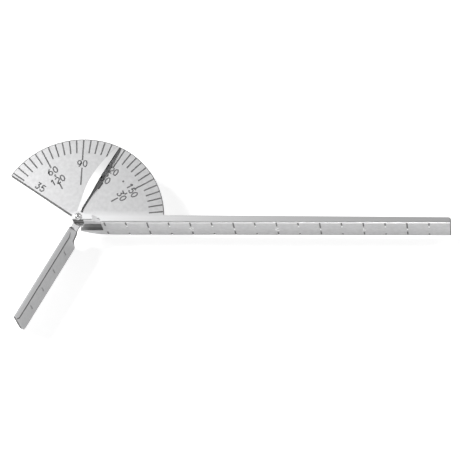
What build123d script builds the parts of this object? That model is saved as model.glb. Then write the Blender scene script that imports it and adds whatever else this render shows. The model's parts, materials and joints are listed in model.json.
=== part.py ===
"""Finger goniometer: a folded protractor arm, with a folded finger arm and a bowed pointer on one rivet.

Row frame: +Z points out of the dial's front, +X runs along the ruler arm to its free end, and +Y goes from
the ruler arm towards the dial's arc. Levels are heights above the dial's front face.
"""

import os
from math import cos, radians, sin, sqrt, tan

from build123d import *

# Sheet metal
SHEET = 1.0
BEND_RADIUS = 0.6
CORNER_ROUND = 0.4

# Dial and ruler arm, measured from the pivot axis
DIAL_RADIUS = 25.3
DIAL_EDGE_ANGLE = 146.2
DIAL_EDGE_MARGIN = 0.5
BOSS_RADIUS = 1.8
BOSS_FILLET = 1.2
ARM_LENGTH = 109.25
FINGER_FACE_DROP = 1.28
FLANGE_TOP_AT_DIAL = 1.15
FLANGE_TOP_AT_END = 0.6
FLANGE_END_ROUND = 0.8
WEB_DEPTH = 10.0

# Slot in the ruler arm's web, where the finger arm's tongue swings through, and the prong beyond it
SLOT_END = 6.6
SLOT_DEPTH = 6.4
PRONG_TIP = -0.3
PRONG_TIP_THICKNESS = 0.5
PRONG_SHOULDER_AT = 2.65
PRONG_SHOULDER_RISE = 1.2
PRONG_FULL_DEPTH_AT = 12.0

# Tab folded forward out of the slot and over the pointer's hub: an eye round the rivet, and a tapered strap
# whose far end slopes down to the flange
TAB_GAP = 0.7
TAB_EYE_RADIUS = 1.7
TAB_EYE_SHIFT = -0.15
TAB_NECK = (2.4, 0.85)
TAB_FOLD_START = 1.7
TAB_END = 5.6
TAB_END_RISE = 0.35
TAB_SLOPE = 35

# Finger arm, measured along its own length from the pivot axis
REST_ANGLE = 117.56
FINGER_ARM_REACH = 35.1
FINGER_WEB_DEPTH = 12.2
FINGER_WEB_OFFSET = -1.22
FINGER_CORNER_ROUND = 1.8
LIP_WIDTH = 1.7
LIP_START = 3.8
LIP_LEAD_IN = 2.9
TONGUE_START = 1.75
TONGUE_SHOULDER = 2.9
TONGUE_CLEARANCE = 0.4
TONGUE_RAMP_START = 2.2
TONGUE_RAMP = (2.9, 1.2)
TONGUE_KNEE = (4.9, 2.2)
TONGUE_END = 5.5
EAR_RADIUS = 1.8
EAR_LENGTH = 3.3
EAR_SIDE = 1.0

# Pivot stack
HUB_PLAY = 0.1
FACE_CLEARANCE = 0.02
RUNNING_CLEARANCE = 0.03
KEY_CLEARANCE = 0.02
SHANK_RADIUS = 0.75
FLAT_DISTANCE = 0.55
HEAD_RADIUS = 1.15
HEAD_HEIGHT = 0.95
TAIL_RADIUS = 1.15
TAIL_HEIGHT = 0.6
SPRING_WASHER_RADIUS = 1.65
SPRING_WASHER_THICKNESS = 0.15
SPRING_WASHER_SPACE = 0.3
TAIL_WASHER_RADIUS = 1.4
TAIL_WASHER_THICKNESS = 0.35

# Pointer: places along its length from the pivot axis, and widths from its straight reading edge
POINTER_THICKNESS = 0.5
POINTER_HUB_RADIUS = 1.1
POINTER_REACH = 25.1
POINTER_EDGE_OFFSET = 0.6
POINTER_NECK = (3.3, 1.2)
POINTER_BELLY = (8.2, 2.2)
POINTER_SHOULDER = (20.0, 1.75)
POINTER_TIP_WIDTH = 0.5
POINTER_TAB_MARGIN = 0.2
POINTER_CREST_RISE = 0.8
POINTER_CREST = (12.0, 19.0)
POINTER_TIP_GAP = 0.2
POINTER_TIP_SLOPE = -0.15

# Graduations: engraved strokes of one width and depth
STROKE_WIDTH = 0.42
STROKE_DEPTH = 0.12
DEGREE_STEP = 5
FIRST_READING = 35
LAST_READING = 175
LONG_READINGS = (60, 90, 120, 150)
SHORT_TICK = 4.4
LONG_TICK = 6.7
LINK_DASH = (16.2, 15.3)
INNER_LINE = (13.1, 10.8)
MIDDLE_READING = 90
MIDDLE_INNER_LINE = (16.2, 10.7)
PUNCH_MARK = (12.65, 11.76)
PUNCH_RADIUS = 0.3

# Quarter-inch marks on the two finger faces, counted from each arm's free end. On the ruler each mark is a
# dash from the near edge, a dash from the far edge and, away from the inch numbers, a short shallow dash
# between them. On the finger arm each is a long shallow stroke that deepens near its end.
QUARTER_INCH = 6.35
MARKS_PER_INCH = 4
RULER_MARKS = 16
FINGER_MARKS = 4
NEAR_DASHES = {"quarter": 2.0, "half": 4.1, "inch": 2.8}
FAR_DASHES = {"quarter": 1.6, "half": 3.2, "inch": 2.6}
DASH_GAP = 0.7
MIDDLE_DASH = 1.1
SHALLOW_DEPTH = 0.06
FINGER_MARK_START = 1.3
FINGER_MARK_DEEPENS = 5.3
FINGER_MARK_END = 8.2

# Levels of the stack
tab_back = TAB_GAP
tab_front = tab_back + SHEET
head_seat = tab_front + FACE_CLEARANCE
hub_back = HUB_PLAY
hub_front = hub_back + POINTER_THICKNESS
dial_back = -SHEET
ear_front = dial_back - SPRING_WASHER_SPACE
ear_back = ear_front - SHEET
tail_washer_front = ear_back - FACE_CLEARANCE
tail_washer_back = tail_washer_front - TAIL_WASHER_THICKNESS
tail_seat = tail_washer_back - FACE_CLEARANCE
tail_end = tail_seat - TAIL_HEIGHT
tongue_depth = SLOT_DEPTH - TONGUE_CLEARANCE
lip_edge = FINGER_WEB_OFFSET + LIP_WIDTH
running_bore = SHANK_RADIUS + RUNNING_CLEARANCE
slope_run = 1 / tan(radians(TAB_SLOPE))
slope_top = TAB_END - SHEET * slope_run
slope_foot = TAB_END + tab_back * slope_run

# The pivot's place: the rest pose's bounding box is centred on the origin and stands on the ground.
# Its left end is the dial's rounded corner and its near side is the finger arm's end, at the lip or the web.
rest = radians(REST_ANGLE)
edge_angle = radians(DIAL_EDGE_ANGLE)
corner_offset = DIAL_EDGE_MARGIN - CORNER_ROUND
corner_along = sqrt((DIAL_RADIUS - CORNER_ROUND) ** 2 - corner_offset**2)
lowest_x = corner_along * cos(edge_angle) - corner_offset * sin(edge_angle) - CORNER_ROUND
lip_round = LIP_WIDTH / 2
lip_middle = FINGER_WEB_OFFSET + lip_round
lip_low = -(FINGER_ARM_REACH - lip_round) * sin(rest) + lip_middle * cos(rest) - lip_round
web_low = -FINGER_ARM_REACH * sin(rest) + (FINGER_WEB_OFFSET + SHEET) * cos(rest)
lowest_y = min(lip_low, web_low)
pivot_x = -(lowest_x + ARM_LENGTH) / 2
pivot_y = -(lowest_y + DIAL_RADIUS) / 2
pivot_z = max(FINGER_WEB_DEPTH, WEB_DEPTH)

dial = Plane((pivot_x, pivot_y, pivot_z))
finger_arm = dial.rotated((0, 0, -REST_ANGLE))
pointer_line = dial.rotated((0, 0, 180 - REST_ANGLE))
pivot_axis = Axis(dial.origin, (0, 0, 1))
stack_section = Plane(dial.origin, x_dir=(1, 0, 0), z_dir=(0, -1, 0))


def web_plane(base, offset):
    """The plane of a folded web: its x runs along the arm, and its y is the depth behind the dial's face."""
    return Plane(base.origin + base.y_dir * offset, x_dir=base.x_dir, z_dir=base.y_dir)


def radial_stroke(reading, outer, inner):
    """One stroke on the dial, along the radius of a reading."""
    with Locations(Location((0, 0, 0), (0, 0, 180 - reading)) * Location(((outer + inner) / 2, 0, 0))):
        Rectangle(outer - inner, STROKE_WIDTH)


def cross_stroke(along, start, end):
    """One stroke across a web, from one depth to another."""
    with Locations((along, (start + end) / 2)):
        Rectangle(STROKE_WIDTH, end - start)


def mark_kind(mark):
    """What a mark on the ruler stands for, counted from the free end."""
    if mark % MARKS_PER_INCH == 0:
        return "inch"
    return "half" if mark % 2 == 0 else "quarter"


def keyed_bore():
    """The double-flat hole that turns with the rivet."""
    Circle(SHANK_RADIUS + KEY_CLEARANCE)
    Rectangle(4 * SHANK_RADIUS, 2 * (FLAT_DISTANCE + KEY_CLEARANCE), mode=Mode.INTERSECT)


ruler_face = web_plane(dial, -FINGER_FACE_DROP)
finger_web = web_plane(finger_arm, FINGER_WEB_OFFSET)
finger_face = web_plane(finger_arm, FINGER_WEB_OFFSET + SHEET)

# Protractor arm: dial, flange, web, prong and tab in one folded sheet
with BuildPart() as protractor_arm:
    with BuildSketch(dial.offset(dial_back)) as dial_outline:
        edge_along = Vector(cos(edge_angle), sin(edge_angle))
        edge_foot = Vector(-sin(edge_angle), cos(edge_angle)) * DIAL_EDGE_MARGIN
        boss_meeting = edge_foot + edge_along * sqrt(BOSS_RADIUS**2 - DIAL_EDGE_MARGIN**2)
        Circle(DIAL_RADIUS)
        with BuildLine():
            Polyline(
                edge_foot,
                edge_foot + edge_along * DIAL_RADIUS * 2,
                (0, DIAL_RADIUS * 3),
                (DIAL_RADIUS * 2, DIAL_RADIUS),
                (DIAL_RADIUS * 2, -FINGER_FACE_DROP),
                (0, -FINGER_FACE_DROP),
                close=True,
            )
        make_face(mode=Mode.INTERSECT)
        fillet(dial_outline.vertices().sort_by(Axis.X)[0], CORNER_ROUND)
        Circle(BOSS_RADIUS)
        with Locations((0, -FINGER_FACE_DROP)):
            Rectangle(4 * BOSS_RADIUS, 2 * BOSS_RADIUS, align=(Align.CENTER, Align.MAX), mode=Mode.SUBTRACT)
        fillet(dial_outline.vertices().sort_by_distance(boss_meeting)[0], BOSS_FILLET)
        with BuildLine():
            Polyline(
                (0, FLANGE_TOP_AT_DIAL),
                (DIAL_RADIUS, FLANGE_TOP_AT_DIAL),
                (ARM_LENGTH, FLANGE_TOP_AT_END),
                (ARM_LENGTH, -FINGER_FACE_DROP),
                (0, -FINGER_FACE_DROP),
                close=True,
            )
        make_face()
        fillet(dial_outline.vertices().group_by(Axis.X)[-1].sort_by(Axis.Y)[-1], FLANGE_END_ROUND)
    extrude(amount=SHEET)
    with BuildSketch(ruler_face) as web_outline:
        with BuildLine():
            Polyline(
                (PRONG_TIP, SLOT_DEPTH + PRONG_TIP_THICKNESS),
                (PRONG_TIP, SLOT_DEPTH),
                (SLOT_END, SLOT_DEPTH),
                (SLOT_END, 0),
                (ARM_LENGTH, 0),
                (ARM_LENGTH, WEB_DEPTH),
                (PRONG_FULL_DEPTH_AT, WEB_DEPTH),
            )
            Spline(
                (PRONG_TIP, SLOT_DEPTH + PRONG_TIP_THICKNESS),
                (PRONG_SHOULDER_AT, WEB_DEPTH - PRONG_SHOULDER_RISE),
                (PRONG_FULL_DEPTH_AT, WEB_DEPTH),
                tangents=[(1, 1), (1, 0)],
            )
        make_face()
        slot_corner = Vector(SLOT_END, SLOT_DEPTH)
        far_corner = Vector(ARM_LENGTH, WEB_DEPTH)
        fillet(web_outline.vertices().sort_by_distance(slot_corner)[0], CORNER_ROUND)
        fillet(web_outline.vertices().sort_by_distance(far_corner)[0], CORNER_ROUND)
    extrude(amount=SHEET)
    near_edges = protractor_arm.edges().filter_by(Axis.X).group_by(Axis.Y)[0]
    fillet(near_edges.group_by(Axis.Z)[-1], BEND_RADIUS)
    with BuildSketch(dial.offset(dial_back)):
        with Locations((TAB_FOLD_START, -FINGER_FACE_DROP)):
            Rectangle(slope_foot - TAB_FOLD_START, SHEET, align=Align.MIN)
    extrude(amount=tab_front - dial_back)
    with BuildSketch(dial.offset(tab_back)):
        with Locations((TAB_EYE_SHIFT, 0)):
            Circle(TAB_EYE_RADIUS)
        with BuildLine():
            Polyline(
                (0, -FINGER_FACE_DROP),
                (0, TAB_EYE_RADIUS + TAB_EYE_SHIFT / 2),
                TAB_NECK,
                (TAB_END, TAB_END_RISE),
                (TAB_END, -FINGER_FACE_DROP),
                close=True,
            )
        make_face()
        with Locations((0, -FINGER_FACE_DROP)):
            Rectangle(4 * TAB_EYE_RADIUS, TAB_EYE_RADIUS, align=(Align.CENTER, Align.MAX), mode=Mode.SUBTRACT)
    extrude(amount=SHEET)
    with BuildSketch(stack_section):
        with BuildLine():
            Polyline(
                (slope_top, tab_front),
                (slope_foot, 0),
                (slope_foot, tab_front),
                close=True,
            )
        make_face()
    extrude(amount=2 * TAB_EYE_RADIUS, both=True, mode=Mode.SUBTRACT)
    tab_edges = protractor_arm.edges().filter_by(Axis.X).group_by(Axis.Z)[-1]
    fillet(tab_edges.group_by(Axis.Y)[0], BEND_RADIUS)
    with BuildSketch(dial.offset(dial_back)):
        Circle(running_bore)
    extrude(amount=tab_front - dial_back, mode=Mode.SUBTRACT)
    with BuildSketch(dial):
        for reading in range(FIRST_READING, LAST_READING + DEGREE_STEP, DEGREE_STEP):
            is_long = reading in LONG_READINGS
            tick = LONG_TICK if is_long else SHORT_TICK
            radial_stroke(reading, DIAL_RADIUS + STROKE_DEPTH, DIAL_RADIUS - tick)
            if is_long and reading != MIDDLE_READING:
                radial_stroke(reading, *LINK_DASH)
                radial_stroke(reading, *INNER_LINE)
        radial_stroke(MIDDLE_READING, *MIDDLE_INNER_LINE)
        with Locations(PUNCH_MARK):
            Circle(PUNCH_RADIUS)
    extrude(amount=-STROKE_DEPTH, mode=Mode.SUBTRACT)
    with BuildSketch(ruler_face):
        for mark in range(1, RULER_MARKS + 1):
            along = ARM_LENGTH - mark * QUARTER_INCH
            cross_stroke(along, 0, NEAR_DASHES[mark_kind(mark)])
            cross_stroke(along, WEB_DEPTH - FAR_DASHES[mark_kind(mark)], WEB_DEPTH + STROKE_DEPTH)
    extrude(amount=STROKE_DEPTH, mode=Mode.SUBTRACT)
    with BuildSketch(ruler_face):
        for mark in range(1, RULER_MARKS + 1):
            if mark_kind(mark) != "inch":
                along = ARM_LENGTH - mark * QUARTER_INCH
                middle_start = NEAR_DASHES[mark_kind(mark)] + DASH_GAP
                cross_stroke(along, middle_start, middle_start + MIDDLE_DASH)
    extrude(amount=SHALLOW_DEPTH, mode=Mode.SUBTRACT)

# Short arm: finger web, lip, tongue and ear in one folded sheet
with BuildPart() as short_arm:
    with BuildSketch(finger_web) as finger_outline:
        with BuildLine():
            Polyline(
                (LIP_START, 0),
                (FINGER_ARM_REACH, 0),
                (FINGER_ARM_REACH, FINGER_WEB_DEPTH),
                (TONGUE_END, FINGER_WEB_DEPTH),
                (TONGUE_KNEE[0], tongue_depth + TONGUE_KNEE[1]),
                (TONGUE_RAMP[0], tongue_depth + TONGUE_RAMP[1]),
                (TONGUE_RAMP_START, tongue_depth),
                (TONGUE_START, tongue_depth),
                (TONGUE_START, -ear_front),
                (TONGUE_SHOULDER, -ear_front),
                close=True,
            )
        make_face()
        end_corners = finger_outline.vertices().group_by(Axis.X)[-1].sort_by(Axis.Y)
        fillet(end_corners[0], lip_round)
        fillet(finger_outline.vertices().group_by(Axis.Y)[-1].sort_by(Axis.X)[-1], FINGER_CORNER_ROUND)
        fillet(finger_outline.vertices().group_by(Axis.Y)[-1].sort_by(Axis.X)[0], CORNER_ROUND)
    extrude(amount=SHEET)
    with BuildSketch(finger_arm.offset(dial_back)):
        with BuildLine():
            Line((LIP_START, FINGER_WEB_OFFSET), (FINGER_ARM_REACH - lip_round, FINGER_WEB_OFFSET))
            ThreePointArc(
                (FINGER_ARM_REACH - lip_round, FINGER_WEB_OFFSET),
                (FINGER_ARM_REACH, lip_middle),
                (FINGER_ARM_REACH - lip_round, lip_edge),
            )
            Line((FINGER_ARM_REACH - lip_round, lip_edge), (LIP_START + LIP_LEAD_IN, lip_edge))
            TangentArc((LIP_START + LIP_LEAD_IN, lip_edge), (LIP_START, FINGER_WEB_OFFSET), tangent=(-1, 0))
        make_face()
    extrude(amount=SHEET)
    with BuildSketch(Plane(dial.origin, x_dir=finger_arm.y_dir, z_dir=finger_arm.x_dir)):
        with BuildLine():
            Polyline(
                (FINGER_WEB_OFFSET + BEND_RADIUS, 0),
                (FINGER_WEB_OFFSET, 0),
                (FINGER_WEB_OFFSET, -BEND_RADIUS),
            )
            TangentArc(
                (FINGER_WEB_OFFSET, -BEND_RADIUS), (FINGER_WEB_OFFSET + BEND_RADIUS, 0), tangent=(0, 1)
            )
        make_face()
    extrude(amount=FINGER_ARM_REACH, mode=Mode.SUBTRACT)
    with BuildSketch(finger_arm.offset(ear_back)):
        Circle(EAR_RADIUS)
        with Locations((0, FINGER_WEB_OFFSET)):
            Rectangle(EAR_LENGTH, EAR_SIDE - FINGER_WEB_OFFSET, align=Align.MIN)
    extrude(amount=SHEET)
    with BuildSketch(finger_arm.offset(ear_back)):
        keyed_bore()
    extrude(amount=SHEET, mode=Mode.SUBTRACT)
    with BuildSketch(finger_face):
        for mark in range(1, FINGER_MARKS + 1):
            cross_stroke(FINGER_ARM_REACH - mark * QUARTER_INCH, FINGER_MARK_START, FINGER_MARK_END)
    extrude(amount=-SHALLOW_DEPTH, mode=Mode.SUBTRACT)
    with BuildSketch(finger_face):
        for mark in range(1, FINGER_MARKS + 1):
            cross_stroke(FINGER_ARM_REACH - mark * QUARTER_INCH, FINGER_MARK_DEEPENS, FINGER_MARK_END)
    extrude(amount=-STROKE_DEPTH, mode=Mode.SUBTRACT)

# Pointer: a strip with one straight reading edge, bowed away from the dial between its hub and its tip
pointer_section = Plane(dial.origin, x_dir=pointer_line.x_dir, z_dir=-pointer_line.y_dir)
section_start = -2 * POINTER_HUB_RADIUS
rise_start = TAB_END + POINTER_TAB_MARGIN


def bow(lift):
    """The pointer's side line, raised by a lift: flat under the tab, then bowed and down to the tip."""
    Line((section_start, HUB_PLAY + lift), (rise_start, HUB_PLAY + lift))
    Spline(
        (rise_start, HUB_PLAY + lift),
        (POINTER_CREST[0], POINTER_CREST_RISE + lift),
        (POINTER_CREST[1], POINTER_CREST_RISE + lift),
        (POINTER_REACH, POINTER_TIP_GAP + lift),
        tangents=[(1, 0), (1, POINTER_TIP_SLOPE)],
    )


with BuildPart() as pointer:
    with BuildSketch(pointer_line.offset(hub_back)):
        Circle(POINTER_HUB_RADIUS)
        with BuildLine():
            Polyline(
                (0, POINTER_HUB_RADIUS),
                (0, 0),
                (POINTER_NECK[0], POINTER_EDGE_OFFSET),
                (POINTER_REACH, POINTER_EDGE_OFFSET),
                (POINTER_REACH, POINTER_EDGE_OFFSET + POINTER_TIP_WIDTH),
            )
            Spline(
                (POINTER_REACH, POINTER_EDGE_OFFSET + POINTER_TIP_WIDTH),
                (POINTER_SHOULDER[0], POINTER_EDGE_OFFSET + POINTER_SHOULDER[1]),
                (POINTER_BELLY[0], POINTER_EDGE_OFFSET + POINTER_BELLY[1]),
                (POINTER_NECK[0], POINTER_EDGE_OFFSET + POINTER_NECK[1]),
                (0, POINTER_HUB_RADIUS),
            )
        make_face()
    extrude(amount=2 * POINTER_CREST_RISE + POINTER_THICKNESS)
    with BuildSketch(pointer_section):
        with BuildLine():
            bow(0)
            bow(POINTER_THICKNESS)
            Line((section_start, HUB_PLAY), (section_start, HUB_PLAY + POINTER_THICKNESS))
            Line((POINTER_REACH, POINTER_TIP_GAP), (POINTER_REACH, POINTER_TIP_GAP + POINTER_THICKNESS))
        make_face()
    extrude(amount=4 * POINTER_HUB_RADIUS, both=True, mode=Mode.INTERSECT)
    with BuildSketch(pointer_line.offset(hub_back)):
        keyed_bore()
    extrude(amount=POINTER_THICKNESS, mode=Mode.SUBTRACT)

# Pivot rivet: domed head, round shank in the tab, two flats from the pointer back, peened tail
with BuildPart() as pivot_rivet:
    with BuildSketch(stack_section):
        with BuildLine():
            Polyline((0, head_seat + HEAD_HEIGHT), (0, head_seat), (HEAD_RADIUS, head_seat))
            TangentArc((0, head_seat + HEAD_HEIGHT), (HEAD_RADIUS, head_seat), tangent=(1, 0))
        make_face()
        with BuildLine():
            Polyline((0, tail_end), (0, tail_seat), (TAIL_RADIUS, tail_seat))
            TangentArc((0, tail_end), (TAIL_RADIUS, tail_seat), tangent=(1, 0))
        make_face()
    revolve(axis=pivot_axis)
    with BuildSketch(dial.offset(hub_front)):
        Circle(SHANK_RADIUS)
    extrude(amount=head_seat - hub_front)
    with BuildSketch(finger_arm.offset(tail_seat)):
        Circle(SHANK_RADIUS)
        Rectangle(4 * SHANK_RADIUS, 2 * FLAT_DISTANCE, mode=Mode.INTERSECT)
    extrude(amount=hub_front - tail_seat)

# Spring washer: a shallow cone with its rim on the ear and its mouth just behind the dial
with BuildPart() as spring_washer:
    with BuildSketch(stack_section):
        with BuildLine():
            Polyline(
                (running_bore, dial_back - FACE_CLEARANCE),
                (SPRING_WASHER_RADIUS, ear_front + SPRING_WASHER_THICKNESS),
                (SPRING_WASHER_RADIUS, ear_front),
                (running_bore, dial_back - FACE_CLEARANCE - SPRING_WASHER_THICKNESS),
                close=True,
            )
        make_face()
    revolve(axis=pivot_axis)

# Tail washer: a flat ring under the peened tail
with BuildPart() as tail_washer:
    with BuildSketch(dial.offset(tail_washer_back)):
        Circle(TAIL_WASHER_RADIUS)
        Circle(running_bore, mode=Mode.SUBTRACT)
    extrude(amount=TAIL_WASHER_THICKNESS)

pieces = {
    "protractor_arm": protractor_arm,
    "short_arm": short_arm,
    "pointer": pointer,
    "pivot_rivet": pivot_rivet,
    "spring_washer": spring_washer,
    "tail_washer": tail_washer,
}
os.makedirs("parts", exist_ok=True)
for name, piece in pieces.items():
    piece.part.label = name
    export_step(piece.part, f"parts/{name}.step")
    print(name, len(piece.part.solids()), round(piece.part.volume, 3), piece.part.is_valid)
print("pivot", round(pivot_x, 4), round(pivot_y, 4), round(pivot_z, 4))
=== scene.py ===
import json
from math import cos, radians, sin

import bmesh
import bpy
from mathutils import Matrix, Vector


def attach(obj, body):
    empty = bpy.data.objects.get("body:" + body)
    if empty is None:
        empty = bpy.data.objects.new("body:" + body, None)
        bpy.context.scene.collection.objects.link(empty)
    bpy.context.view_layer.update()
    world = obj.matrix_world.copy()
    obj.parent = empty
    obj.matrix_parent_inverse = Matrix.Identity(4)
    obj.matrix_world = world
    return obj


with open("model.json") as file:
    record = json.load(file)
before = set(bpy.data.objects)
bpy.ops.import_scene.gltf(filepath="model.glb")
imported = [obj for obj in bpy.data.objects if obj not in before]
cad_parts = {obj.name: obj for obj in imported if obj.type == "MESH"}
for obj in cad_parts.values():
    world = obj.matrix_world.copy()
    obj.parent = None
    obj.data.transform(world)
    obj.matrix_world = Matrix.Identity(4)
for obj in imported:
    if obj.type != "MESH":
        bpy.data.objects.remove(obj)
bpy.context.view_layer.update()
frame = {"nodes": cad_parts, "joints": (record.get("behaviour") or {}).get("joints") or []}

# The protractor arm: one sheet of stainless steel, blanked, engraved and folded, with the dial, the flange,
# the finger side's web and the tab over the pointer. It is glass-beaded to a fine satin, its cut edges are
# painted dark as shade, and its deep strokes are filled with dark oxide.
x_way, y_way, z_way = (1, 0, 0), (0, 1, 0), (0, 0, 1)
pivot = Vector(frame["joints"][0]["pos_m"])
dial_radius = 0.0253
dial_edge = radians(146.2)
dial_edge_margin = 0.0005
ruler_end = 0.10925
finger_face_drop = 0.00128
bend_depth = 0.00105
under_the_bends = pivot.z - bend_depth
stroke_depth = 0.00012
shallow_depth = 0.00006
# How far a face turns towards a direction, where 1 is straight towards it.
squarely, mostly, partly = 0.9, 0.5, 0.2


def calc(tree, operation, *values):
    """One sum in a material, of sockets and plain numbers."""
    step = tree.nodes.new("ShaderNodeMath")
    step.operation = operation
    for socket, value in zip(step.inputs, values):
        if isinstance(value, (int, float)):
            socket.default_value = value
        else:
            tree.links.new(value, socket)
    return step.outputs["Value"]


def along(tree, what, direction):
    """How far the place or the normal goes in a direction."""
    dot = tree.nodes.new("ShaderNodeVectorMath")
    dot.operation = "DOT_PRODUCT"
    dot.inputs[1].default_value = direction
    tree.links.new(tree.nodes["Texture Coordinate"].outputs[what], dot.inputs[0])
    return dot.outputs["Value"]


def pivot_along(direction):
    """How far the pivot itself lies in a direction."""
    return sum(a * b for a, b in zip(pivot, direction))


def away_from(tree, point):
    """How far the place is from a point."""
    gap = tree.nodes.new("ShaderNodeVectorMath")
    gap.operation = "DISTANCE"
    gap.inputs[1].default_value = point
    tree.links.new(tree.nodes["Texture Coordinate"].outputs["Object"], gap.inputs[0])
    return gap.outputs["Value"]


def above(tree, value, level):
    """A mask of where a value is over a level."""
    return calc(tree, "GREATER_THAN", value, level)


def below(tree, value, level):
    """A mask of where a value is under a level."""
    return calc(tree, "LESS_THAN", value, level)


def all_of(tree, first, *others):
    """A mask of where every one of the masks holds."""
    for other in others:
        first = calc(tree, "MULTIPLY", first, other)
    return first


def any_of(tree, first, second):
    """A mask of where either of two masks holds."""
    return calc(tree, "MAXIMUM", first, second)


def outside(tree, mask):
    """The rest of the surface, where a mask doesn't hold."""
    return calc(tree, "SUBTRACT", 1, mask)


def fade(tree, value, start, end, low=0, high=1):
    """A change from low to high while a value goes from start to end."""
    ramp = tree.nodes.new("ShaderNodeMapRange")
    limits = {"From Min": start, "From Max": end, "To Min": low, "To Max": high}
    for name, limit in limits.items():
        ramp.inputs[name].default_value = limit
    tree.links.new(value, ramp.inputs["Value"])
    return ramp.outputs["Result"]


def grains(tree, scale, detail):
    """An even grain through the piece, between 0 and 1."""
    noise = tree.nodes.new("ShaderNodeTexNoise")
    noise.inputs["Scale"].default_value = scale
    noise.inputs["Detail"].default_value = detail
    tree.links.new(tree.nodes["Texture Coordinate"].outputs["Object"], noise.inputs["Vector"])
    return noise.outputs["Fac"]


def satin_steel(name, colour, roughness, mottle):
    """Satin stainless steel with a faint mottle and fine bead marks."""
    cloud_scale, bead_scale, swing = 900, 4200, 0.06
    material = bpy.data.materials.new(name)
    material.use_nodes = True
    tree = material.node_tree
    tree.nodes.new("ShaderNodeTexCoord")
    steel = tree.nodes["Principled BSDF"]
    steel.inputs["Metallic"].default_value = 1.0
    tone = tree.nodes.new("ShaderNodeVectorMath")
    tone.operation = "SCALE"
    tone.inputs[0].default_value = colour
    cloud = fade(tree, grains(tree, cloud_scale, 6), 0.3, 0.7, 1 - mottle, 1)
    tree.links.new(cloud, tone.inputs["Scale"])
    tree.links.new(tone.outputs["Vector"], steel.inputs["Base Color"])
    beads = grains(tree, bead_scale, 3)
    spread = fade(tree, beads, 0, 1, roughness - swing, roughness + swing)
    tree.links.new(spread, steel.inputs["Roughness"])
    relief = tree.nodes.new("ShaderNodeBump")
    relief.inputs["Strength"].default_value = 0.25
    relief.inputs["Distance"].default_value = 0.00001
    tree.links.new(beads, relief.inputs["Height"])
    tree.links.new(relief.outputs["Normal"], steel.inputs["Normal"])
    return material


def finish_where(material, mask, colour, roughness, metal=1.0):
    """Lays another colour over a material where a mask is 1; it serves both real finishes and painted light
    and shade.
    """
    tree = material.node_tree
    steel = tree.nodes["Principled BSDF"]
    finish = {"Base Color": (*colour, 1), "Roughness": roughness, "Metallic": metal}
    for name, value in finish.items():
        socket = steel.inputs[name]
        if not socket.links and socket.default_value == value:
            continue
        blend = tree.nodes.new("ShaderNodeMix")
        blend.data_type = "RGBA" if name == "Base Color" else "FLOAT"
        tree.links.new(mask, blend.inputs["Factor"])
        if socket.links:
            tree.links.new(socket.links[0].from_socket, blend.inputs["A"])
        else:
            blend.inputs["A"].default_value = socket.default_value
        blend.inputs["B"].default_value = value
        tree.links.new(blend.outputs["Result"], socket)


def engraved_floor(tree, facing, level):
    """A mask of the stroke floors that face one way and lie at one level that way."""
    least_facing, level_window = 0.95, 0.00002
    square = above(tree, along(tree, "Normal", facing), least_facing)
    deep = calc(tree, "COMPARE", along(tree, "Object", facing), level, level_window)
    return all_of(tree, square, deep)


def dress(node, material):
    """Gives a CAD piece its one material."""
    materials = frame["nodes"][node].data.materials
    materials.clear()
    materials.append(material)


sheet_steel = satin_steel("beaded stainless sheet", (0.62, 0.62, 0.625), 0.46, 0.12)
sheet = sheet_steel.node_tree

# Its cut edges, painted dark as shade: all that isn't a side of the sheet. Past the eye, a bend counts as a
# side while it turns.
eye_reach = 0.0017
eye_square, bend_square = 0.97, 0.3
fold_drop = 0.0002
web = below(sheet, along(sheet, "Object", z_way), under_the_bends)
front_parts = outside(sheet, web)
past_the_eye = above(sheet, along(sheet, "Object", x_way), pivot.x + eye_reach)
at_the_eye = outside(sheet, past_the_eye)
web_side = above(sheet, calc(sheet, "ABSOLUTE", along(sheet, "Normal", y_way)), mostly)
least_square = calc(sheet, "MULTIPLY_ADD", past_the_eye, bend_square - eye_square, eye_square)
level_side = above(sheet, calc(sheet, "ABSOLUTE", along(sheet, "Normal", z_way)), least_square)
forward = below(sheet, along(sheet, "Normal", y_way), -squarely)
folded = below(sheet, along(sheet, "Object", y_way), pivot.y - fold_drop)
front_side = any_of(sheet, level_side, all_of(sheet, forward, folded, past_the_eye))
sheet_side = any_of(sheet, all_of(sheet, web, web_side), all_of(sheet, front_parts, front_side))
finish_where(sheet_steel, outside(sheet, sheet_side), (0.12, 0.12, 0.12), 0.6)

# Its cut faces that the light reaches, painted a lighter shade than the other cut edges: the eye's front,
# and the slot's lower edge along the prong.
eye_front = all_of(sheet, forward, front_parts, at_the_eye)
finish_where(sheet_steel, eye_front, (0.3, 0.3, 0.3), 0.6)
prong_edge = all_of(sheet, web, above(sheet, along(sheet, "Normal", z_way), mostly))
finish_where(sheet_steel, prong_edge, (0.3, 0.3, 0.3), 0.8, metal=0.5)

# Its lighter parts: the flange's front, coloured lighter and a little smoother towards the ruler, and the
# rolled bend below it, smoother and painted lighter as a highlight.
flange_fades_from, flange_full_at = 0.0026, 0.0006
front_face = all_of(sheet, front_parts, above(sheet, along(sheet, "Normal", z_way), squarely))
flange = fade(sheet, along(sheet, "Object", y_way), pivot.y + flange_fades_from, pivot.y + flange_full_at)
finish_where(sheet_steel, all_of(sheet, flange, front_face), (0.76, 0.76, 0.765), 0.44)
rolled = all_of(
    sheet,
    below(sheet, along(sheet, "Normal", y_way), -partly),
    above(sheet, along(sheet, "Normal", z_way), partly),
    past_the_eye,
)
finish_where(sheet_steel, rolled, (0.8, 0.8, 0.8), 0.34)
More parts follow.
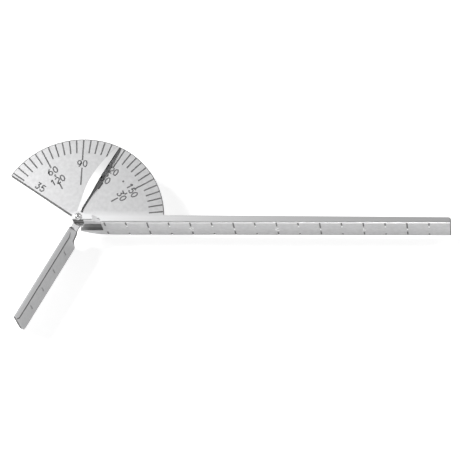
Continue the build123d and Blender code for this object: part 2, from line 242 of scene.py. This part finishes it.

# Its dark rims, painted shade along the edges: the dial's arc, its lower left side, which stops short of the
# boss round the rivet, and the ruler's free end.
arc_rim_width = 0.0002
side_rim_width = 0.00036
end_rim_width = 0.00028
boss_radius = 0.00145
flange_top = 0.0013
dial_depth_window = 0.0003
edge_shade_grey, edge_shade_roughness = (0.16, 0.16, 0.16), 0.55
from_axis = away_from(sheet, pivot)
above_the_flange = above(sheet, along(sheet, "Object", y_way), pivot.y + flange_top)
arc_rim = all_of(sheet, above(sheet, from_axis, dial_radius - arc_rim_width), above_the_flange)
off_the_side = (-sin(dial_edge), cos(dial_edge), 0)
side_level = pivot_along(off_the_side) + dial_edge_margin
beside_the_edge = above(sheet, along(sheet, "Object", off_the_side), side_level - side_rim_width)
clear_of_the_boss = above(sheet, from_axis, boss_radius)
side_rim = all_of(sheet, beside_the_edge, any_of(sheet, above_the_flange, clear_of_the_boss))
on_the_dial = calc(sheet, "COMPARE", along(sheet, "Object", z_way), pivot.z, dial_depth_window)
rim = all_of(sheet, any_of(sheet, arc_rim, side_rim), on_the_dial, front_face)
finish_where(sheet_steel, rim, edge_shade_grey, edge_shade_roughness)
end_rim = above(sheet, along(sheet, "Object", x_way), pivot.x + ruler_end - end_rim_width)
finish_where(sheet_steel, end_rim, edge_shade_grey, edge_shade_roughness)

# Its strokes: oxide on the deep floors, and a painted glint, near white and smoother, on the ruler's shallow
# middle dashes.
finger_face = finger_face_drop - pivot.y
dial_floor = engraved_floor(sheet, z_way, pivot.z - stroke_depth)
ruler_floor = engraved_floor(sheet, (0, -1, 0), finger_face - stroke_depth)
middle_glint_floor = engraved_floor(sheet, (0, -1, 0), finger_face - shallow_depth)
finish_where(sheet_steel, any_of(sheet, dial_floor, ruler_floor), (0.19, 0.19, 0.192), 0.7, metal=0.0)
finish_where(sheet_steel, middle_glint_floor, (1, 1, 1), 0.3)
dress("protractor_arm", sheet_steel)

# The numerals on the dial and along the ruler: engraved with a fine cutter after the strokes, in lines of
# even width. Those on the dial are filled with dark oxide, and those on the ruler are unfilled and painted
# near white as a glint. All lie level with the sheet.
figure_height = 0.0019
figure_half_width = 0.31
figure_pitch = {1: 0, 2: 0.0017, 3: 0.00153}
figure_stroke = 0.0004
figure_sink = 0.00012
figure_proud = 0.000008
same_point = 1e-7


def bend(x, y, across, up, start, end, steps=14):
    """Points round part of an ellipse, in the figure's own square."""
    turn = [radians(start + (end - start) * k / steps) for k in range(steps + 1)]
    return [(x + across * cos(a), y + up * sin(a)) for a in turn]


figures = {
    "0": [bend(0.31, 0.5, 0.29, 0.5, 90, 450, 24)],
    "1": [[(0.06, 0.74), (0.34, 1.0)], [(0.34, 1.04), (0.34, 0.0)]],
    "2": [bend(0.31, 0.7, 0.28, 0.3, 165, -35) + [(0.04, 0.03)], [(0.0, 0.0), (0.61, 0.0)]],
    "3": [[(0.04, 1.0), (0.6, 1.0)], [(0.56, 0.98), (0.27, 0.6)], bend(0.28, 0.3, 0.3, 0.3, 95, -150)],
    "5": [[(0.56, 1.0), (0.08, 1.0)], [(0.12, 1.0), (0.07, 0.52)], bend(0.29, 0.32, 0.31, 0.32, 140, -150)],
    "6": [bend(0.62, 0.32, 0.6, 0.7, 180, 108, 10), bend(0.31, 0.31, 0.29, 0.31, 180, 540, 24)],
    "9": [bend(0.0, 0.68, 0.6, 0.7, 0, -72, 10), bend(0.31, 0.69, 0.29, 0.31, 0, 360, 24)],
}

cutter = bpy.data.node_groups.new("cutter along a line", "GeometryNodeTree")
for direction, name, kind in (
    ("INPUT", "Geometry", "NodeSocketGeometry"),
    ("INPUT", "Stroke Width", "NodeSocketFloat"),
    ("INPUT", "Fill Depth", "NodeSocketFloat"),
    ("INPUT", "Fill", "NodeSocketMaterial"),
    ("OUTPUT", "Geometry", "NodeSocketGeometry"),
):
    cutter.interface.new_socket(name, in_out=direction, socket_type=kind)
lines = cutter.nodes.new("NodeGroupInput")
to_curve = cutter.nodes.new("GeometryNodeMeshToCurve")
upright = cutter.nodes.new("GeometryNodeSetCurveNormal")
upright.mode = "Z_UP"
tip = cutter.nodes.new("GeometryNodeCurvePrimitiveQuadrilateral")
cut = cutter.nodes.new("GeometryNodeCurveToMesh")
cut.inputs["Fill Caps"].default_value = True
real = cutter.nodes.new("GeometryNodeRealizeInstances")
filled = cutter.nodes.new("GeometryNodeSetMaterial")
out = cutter.nodes.new("NodeGroupOutput")
for a, b in (
    (lines.outputs["Geometry"], to_curve.inputs["Mesh"]),
    (to_curve.outputs["Curve"], upright.inputs["Curve"]),
    (upright.outputs["Curve"], cut.inputs["Curve"]),
    (lines.outputs["Stroke Width"], tip.inputs["Width"]),
    (lines.outputs["Fill Depth"], tip.inputs["Height"]),
    (tip.outputs["Curve"], cut.inputs["Profile Curve"]),
    (cut.outputs["Mesh"], real.inputs["Geometry"]),
    (real.outputs["Geometry"], filled.inputs["Geometry"]),
    (lines.outputs["Fill"], filled.inputs["Material"]),
    (filled.outputs["Geometry"], out.inputs["Geometry"]),
):
    cutter.links.new(a, b)

glint_white_steel = satin_steel("painted glint steel", (0.97, 0.97, 0.97), 0.3, 0.02)
oxide_fill = bpy.data.materials.new("dark oxide fill")
oxide_fill.use_nodes = True
oxide_tree = oxide_fill.node_tree
oxide_tree.nodes.new("ShaderNodeTexCoord")
greys = oxide_tree.nodes.new("ShaderNodeValToRGB")
greys.color_ramp.elements[0].color = (0.13, 0.13, 0.133, 1)
greys.color_ramp.elements[1].color = (0.23, 0.23, 0.235, 1)
oxide_tree.links.new(grains(oxide_tree, 2500, 2), greys.inputs["Fac"])
oxide = oxide_tree.nodes["Principled BSDF"]
oxide.inputs["Roughness"].default_value = 0.7
oxide.inputs["Metallic"].default_value = 0.0
oxide_tree.links.new(greys.outputs["Color"], oxide.inputs["Base Color"])


def engraved(name, words, fill):
    """Cuts words, each with its middle, its reading direction and its up direction, into one plain mesh."""
    lay = bmesh.new()
    for text, middle, right, up in words:
        right, up = Vector(right), Vector(up)
        pitch = right * figure_pitch[len(text)]
        start = Vector(middle) - pitch * (len(text) - 1) / 2
        for place, figure in enumerate(text):
            corner = start + pitch * place - right * figure_half_width * figure_height
            corner = corner - up * figure_height / 2
            for stroke in figures[figure]:
                dots = [corner + (right * x + up * y) * figure_height for x, y in stroke]
                closed = (dots[0] - dots[-1]).length < same_point
                verts = [lay.verts.new((*dot, 0)) for dot in (dots[:-1] if closed else dots)]
                for a, b in zip(verts, verts[1:] + (verts[:1] if closed else [])):
                    lay.edges.new((a, b))
    mesh = bpy.data.meshes.new(name)
    lay.to_mesh(mesh)
    lay.free()
    piece = bpy.data.objects.new(name, mesh)
    bpy.context.scene.collection.objects.link(piece)
    cutting = piece.modifiers.new("cutter", "NODES")
    cutting.node_group = cutter
    settings = {"Stroke Width": figure_stroke, "Fill Depth": figure_sink, "Fill": fill}
    for item in cutter.interface.items_tree:
        if item.item_type == "SOCKET" and item.in_out == "INPUT" and item.name in settings:
            cutting[item.identifier] = settings[item.name]
    shape = bpy.context.evaluated_depsgraph_get()
    shape.update()
    solid = bpy.data.meshes.new_from_object(piece.evaluated_get(shape))
    piece.modifiers.remove(cutting)
    piece.data = solid
    return piece


def round_the_dial(text, reading, radius):
    """A number set square to its reading's radius, with its top towards the arc."""
    angle = radians(180 - reading)
    outwards = (cos(angle), sin(angle))
    return text, (radius * outwards[0], radius * outwards[1]), (outwards[1], -outwards[0]), outwards


# Each number, the reading that it stands at and how far it is from the pivot.
dial_words = [
    round_the_dial(text, reading, radius)
    for text, reading, radius in (
        ("60", 60, 0.0175),
        ("90", 90, 0.0175),
        ("120", 120, 0.0178),
        ("150", 150, 0.0178),
        ("120", 60, 0.014),
        ("60", 120, 0.01435),
        ("30", 150, 0.01435),
    )
]
along_the_edge = (-cos(dial_edge), -sin(dial_edge))
from_the_edge = (sin(dial_edge), -cos(dial_edge))
dial_words.append(("35", (-0.0121, 0.01), along_the_edge, from_the_edge))
level_with_the_sheet = figure_proud - figure_sink / 2
dial_numbers = engraved("dial_numbers", dial_words, oxide_fill)
dial_numbers.data.transform(Matrix.Translation(pivot + Vector((0, 0, level_with_the_sheet))))
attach(dial_numbers, "ruler_side")

inch = 0.0254
ruler_figure_drop = 0.0052
ruler_words = [
    (str(count), (-(ruler_end - count * inch), ruler_figure_drop), (1, 0), (0, 1)) for count in (1, 2, 3)
]
onto_the_web = Matrix((
    (-1, 0, 0, pivot.x),
    (0, 0, -1, pivot.y - finger_face_drop),
    (0, -1, 0, pivot.z),
    (0, 0, 0, 1),
))
ruler_numbers = engraved("ruler_numbers", ruler_words, glint_white_steel)
ruler_numbers.data.transform(Matrix.Translation((0, 0, level_with_the_sheet)))
ruler_numbers.data.transform(onto_the_web)
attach(ruler_numbers, "ruler_side")

# The spring washer and the tail washer behind the dial: stamped from thin spring strip and left bright.
# They hold the pivot's preload. Only the tail washer's rim shows, between the tongue and the prong.
washer_steel = satin_steel("bright washer strip", (0.85, 0.85, 0.84), 0.28, 0.04)
for washer in ("spring_washer", "tail_washer"):
    dress(washer, washer_steel)

# The short arm: a folded stamping of the same sheet, with a lip along its front edge. Its satin is painted a
# little darker than the protractor arm's as shade, and its cut edges are painted dark as shade. Its tongue
# passes through the slot to the rivet. Its long strokes are bare, and only their deep ends hold some oxide.
reading_at_rest = radians(117.56)
finger_side = (sin(reading_at_rest), cos(reading_at_rest), 0)
arm_way = (cos(reading_at_rest), -sin(reading_at_rest), 0)
face_offset = 0.00022
face_level = pivot_along(finger_side) - face_offset
ear_depth = 0.0024
# The arm's satin: the sheet's steel, painted a little darker as shade.
arm_steel = satin_steel("beaded stainless arm", (0.56, 0.56, 0.565), 0.46, 0.1)
arm = arm_steel.node_tree
arm_web = below(arm, along(arm, "Object", z_way), under_the_bends)
arm_front = outside(arm, arm_web)
run = calc(arm, "SUBTRACT", along(arm, "Object", arm_way), pivot_along(arm_way))

# Its cut edges, painted dark as shade: all that isn't a side of the web, the lip or the ear, bar the walls
# of the shallow strokes.
# The end by the slot doesn't show dark, so it keeps the sheet's own satin.
near_end = 0.0042
stroke_margin = 0.0001
sideways = along(arm, "Normal", finger_side)
squareness = calc(arm, "ABSOLUTE", along(arm, "Normal", z_way))
ear = above(arm, along(arm, "Object", z_way), pivot.z - ear_depth)
ear_side = all_of(arm, ear, above(arm, squareness, squarely))
arm_web_side = any_of(arm, above(arm, calc(arm, "ABSOLUTE", sideways), mostly), ear_side)
lip_side = any_of(arm, above(arm, squareness, mostly), below(arm, sideways, -mostly))
lip = all_of(arm, arm_front, lip_side)
arm_side = any_of(arm, all_of(arm, arm_web, arm_web_side), lip)
into_the_sheet = below(arm, along(arm, "Object", finger_side), face_level - stroke_depth)
over_the_face = above(arm, along(arm, "Object", finger_side), face_level + stroke_margin)
off_the_strokes = any_of(arm, into_the_sheet, over_the_face)
sheared = all_of(arm, outside(arm, arm_side), off_the_strokes, above(arm, run, near_end))
finish_where(arm_steel, sheared, (0.13, 0.13, 0.13), 0.6)
# The lip: painted darker than the rest of the arm as shade, and rougher.
finish_where(arm_steel, lip, (0.37, 0.37, 0.375), 0.6)


def falling(slope, start, depth):
    """The level, below the pivot, of an edge that falls along the arm from a depth at a start."""
    return calc(arm, "MULTIPLY_ADD", run, -slope, slope * start - depth)


# Its painted shade: a dark band along the neck's lower edge, which runs level, then steeply and then gently
# down.
neck_depth = 0.006
neck_shade_width = 0.0013
neck_end = 0.0053
steep = falling(slope=1.714, start=0.0022, depth=neck_depth)
gentle = falling(slope=0.5, start=0.0029, depth=0.0072)
neck_edge = calc(arm, "MAXIMUM", calc(arm, "MINIMUM", steep, -neck_depth), gentle)
depth = calc(arm, "SUBTRACT", along(arm, "Object", z_way), pivot.z)
beside_the_neck = below(arm, calc(arm, "SUBTRACT", depth, neck_edge), neck_shade_width)
neck_shade = all_of(arm, beside_the_neck, below(arm, run, neck_end))
finish_where(arm_steel, neck_shade, (0.08, 0.08, 0.08), 0.6)
deep_ends = engraved_floor(arm, finger_side, face_level - stroke_depth)
finish_where(arm_steel, deep_ends, (0.4, 0.4, 0.4), 0.6)
dress("short_arm", arm_steel)

# The pointer: a strip of spring steel, bowed over the dial, coloured lighter than the sheet, with its cut
# edges painted dark as shade. A hole with a flat keys it to the rivet, so that it turns with the short arm.
strip_steel = satin_steel("light spring strip", (0.78, 0.78, 0.78), 0.55, 0.03)
strip = strip_steel.node_tree
least_flat = 0.3
strip_edge = below(strip, calc(strip, "ABSOLUTE", along(strip, "Normal", z_way)), least_flat)
# Its edges: painted dark as shade.
finish_where(strip_steel, strip_edge, (0.07, 0.07, 0.07), 0.6)
dress("pointer", strip_steel)

# The pivot rivet: turned stainless, domed by the riveting set and polished by handling. It goes through the
# tab, the pointer, the dial, the washers and the ear, and its tail is peened over.
dress("pivot_rivet", satin_steel("polished rivet", (0.75, 0.75, 0.75), 0.3, 0.04))

# The table: a plain white sheet, which keeps the shadow. It looks white to the camera and glows less for
# reflections. It is dark under the slot, in the dial's deepest shade, and gives no reflection right below
# the dial.
table_half = 3
lit_paper, shaded_paper = 0.8, 0.35
seen_glow, mirrored_glow = 0.66, 0.42
dial_middle, dial_cover = 0.011, 0.0125
table_corners = [(-1, -1), (1, -1), (1, 1), (-1, 1)]
table_mesh = bpy.data.meshes.new("table")
table_mesh.from_pydata([(x * table_half, y * table_half, 0) for x, y in table_corners], [], [(0, 1, 2, 3)])
table = bpy.data.objects.new("table", table_mesh)
bpy.context.scene.collection.objects.link(table)
paper = bpy.data.materials.new("white paper")
paper.use_nodes = True
page = paper.node_tree
page.nodes.new("ShaderNodeTexCoord")
surface = page.nodes["Principled BSDF"]
surface.inputs["Roughness"].default_value = 0.9
surface.inputs["Specular IOR Level"].default_value = 0.1
surface.inputs["Emission Color"].default_value = (1, 1, 1, 1)

# The dark patch: for each of its four sides, where the paper is still light and where it is fully dark.
shade = 1
for direction, light_from, dark_from in (
    (x_way, pivot.x - 0.0014, pivot.x - 0.0005),
    (x_way, pivot.x + 0.0115, pivot.x + 0.0052),
    (y_way, pivot.y + 0.0002, pivot.y + 0.0011),
    (y_way, pivot.y + 0.0125, pivot.y + 0.0056),
):
    side_shade = fade(page, along(page, "Object", direction), light_from, dark_from)
    side_shade.node.interpolation_type = "SMOOTHSTEP"
    shade = calc(page, "MULTIPLY", side_shade, shade)
clear = outside(page, shade)
page.links.new(fade(page, clear, 0, 1, shaded_paper, lit_paper), surface.inputs["Base Color"])

# Its glow: white for the camera and for transmission, and lower for reflections.
below_the_dial = (pivot.x, pivot.y + dial_middle, 0)
clear_below = above(page, away_from(page, below_the_dial), dial_cover)
ray = page.nodes.new("ShaderNodeLightPath")
seen_ray = any_of(page, ray.outputs["Is Camera Ray"], ray.outputs["Is Transmission Ray"])
seen = calc(page, "MULTIPLY", seen_ray, seen_glow)
mirrored = calc(page, "MULTIPLY", ray.outputs["Is Glossy Ray"], mirrored_glow)
glow = calc(page, "ADD", calc(page, "MULTIPLY", seen, clear), calc(page, "MULTIPLY", mirrored, clear_below))
page.links.new(glow, surface.inputs["Emission Strength"])
table_mesh.materials.append(paper)

# The studio: light walls under a darker ceiling, white to the camera, and three soft boxes: the key up on
# the left, a weak one over the finger side for the ruler's bend, and a wide one on the right.
world = bpy.data.worlds.new("room")
bpy.context.scene.world = world
world.use_nodes = True
room = world.node_tree
room.nodes.new("ShaderNodeTexCoord")
ceiling_from, ceiling_full = 0.35, 0.8
wall_strength, ceiling_strength, least_mirrored = 0.5, 0.13, 0.22
rise = along(room, "Generated", z_way)
walls = fade(room, rise, ceiling_from, ceiling_full, wall_strength, ceiling_strength)
ray = room.nodes.new("ShaderNodeLightPath")
seen = any_of(room, ray.outputs["Is Camera Ray"], ray.outputs["Is Transmission Ray"])
mirrored = calc(room, "MULTIPLY", ray.outputs["Is Glossy Ray"], least_mirrored)
bright = any_of(room, walls, any_of(room, seen, mirrored))
backdrop = room.nodes["Background"]
backdrop.inputs["Color"].default_value = (1, 1, 1, 1)
room.links.new(bright, backdrop.inputs["Strength"])


def soft_box(name, direction, distance, size, watts):
    """A square soft light in a direction from the pivot, turned to it."""
    lamp = bpy.data.lights.new(name, "AREA")
    lamp.size = size
    lamp.energy = watts
    light = bpy.data.objects.new(name, lamp)
    light.location = pivot + Vector(direction).normalized() * distance
    light.rotation_euler = Vector(direction).to_track_quat("Z", "Y").to_euler()
    bpy.context.scene.collection.objects.link(light)


soft_box("key", (-0.62, 0.28, 0.82), distance=0.6, size=0.16, watts=2.75)
soft_box("bend_light", (0.18, -0.79, 0.58), distance=0.57, size=0.1, watts=0.45)
soft_box("side_card", (0.8, 0.36, 0.48), distance=0.8, size=0.4, watts=1.0)

# The camera: it stands over the finger side and looks down at the dial, at the photograph's own slant and
# distance. Its frame is given by its own right and up directions.
view = bpy.data.cameras.new("camera")
view.lens = 187.8
view.clip_start = 0.01
camera = bpy.data.objects.new("camera", view)
across = Vector((0.99406, 0.04066, -0.10095))
upward = Vector((-0.00213, 0.93469, 0.35547))
stand = pivot + Vector((0.12129, -0.25105, 0.65133))
turn = Matrix((across, upward, across.cross(upward))).transposed().to_4x4()
camera.matrix_world = Matrix.Translation(stand) @ turn
bpy.context.scene.collection.objects.link(camera)
bpy.context.scene.camera = camera
bpy.context.scene.view_settings.view_transform = "Standard"
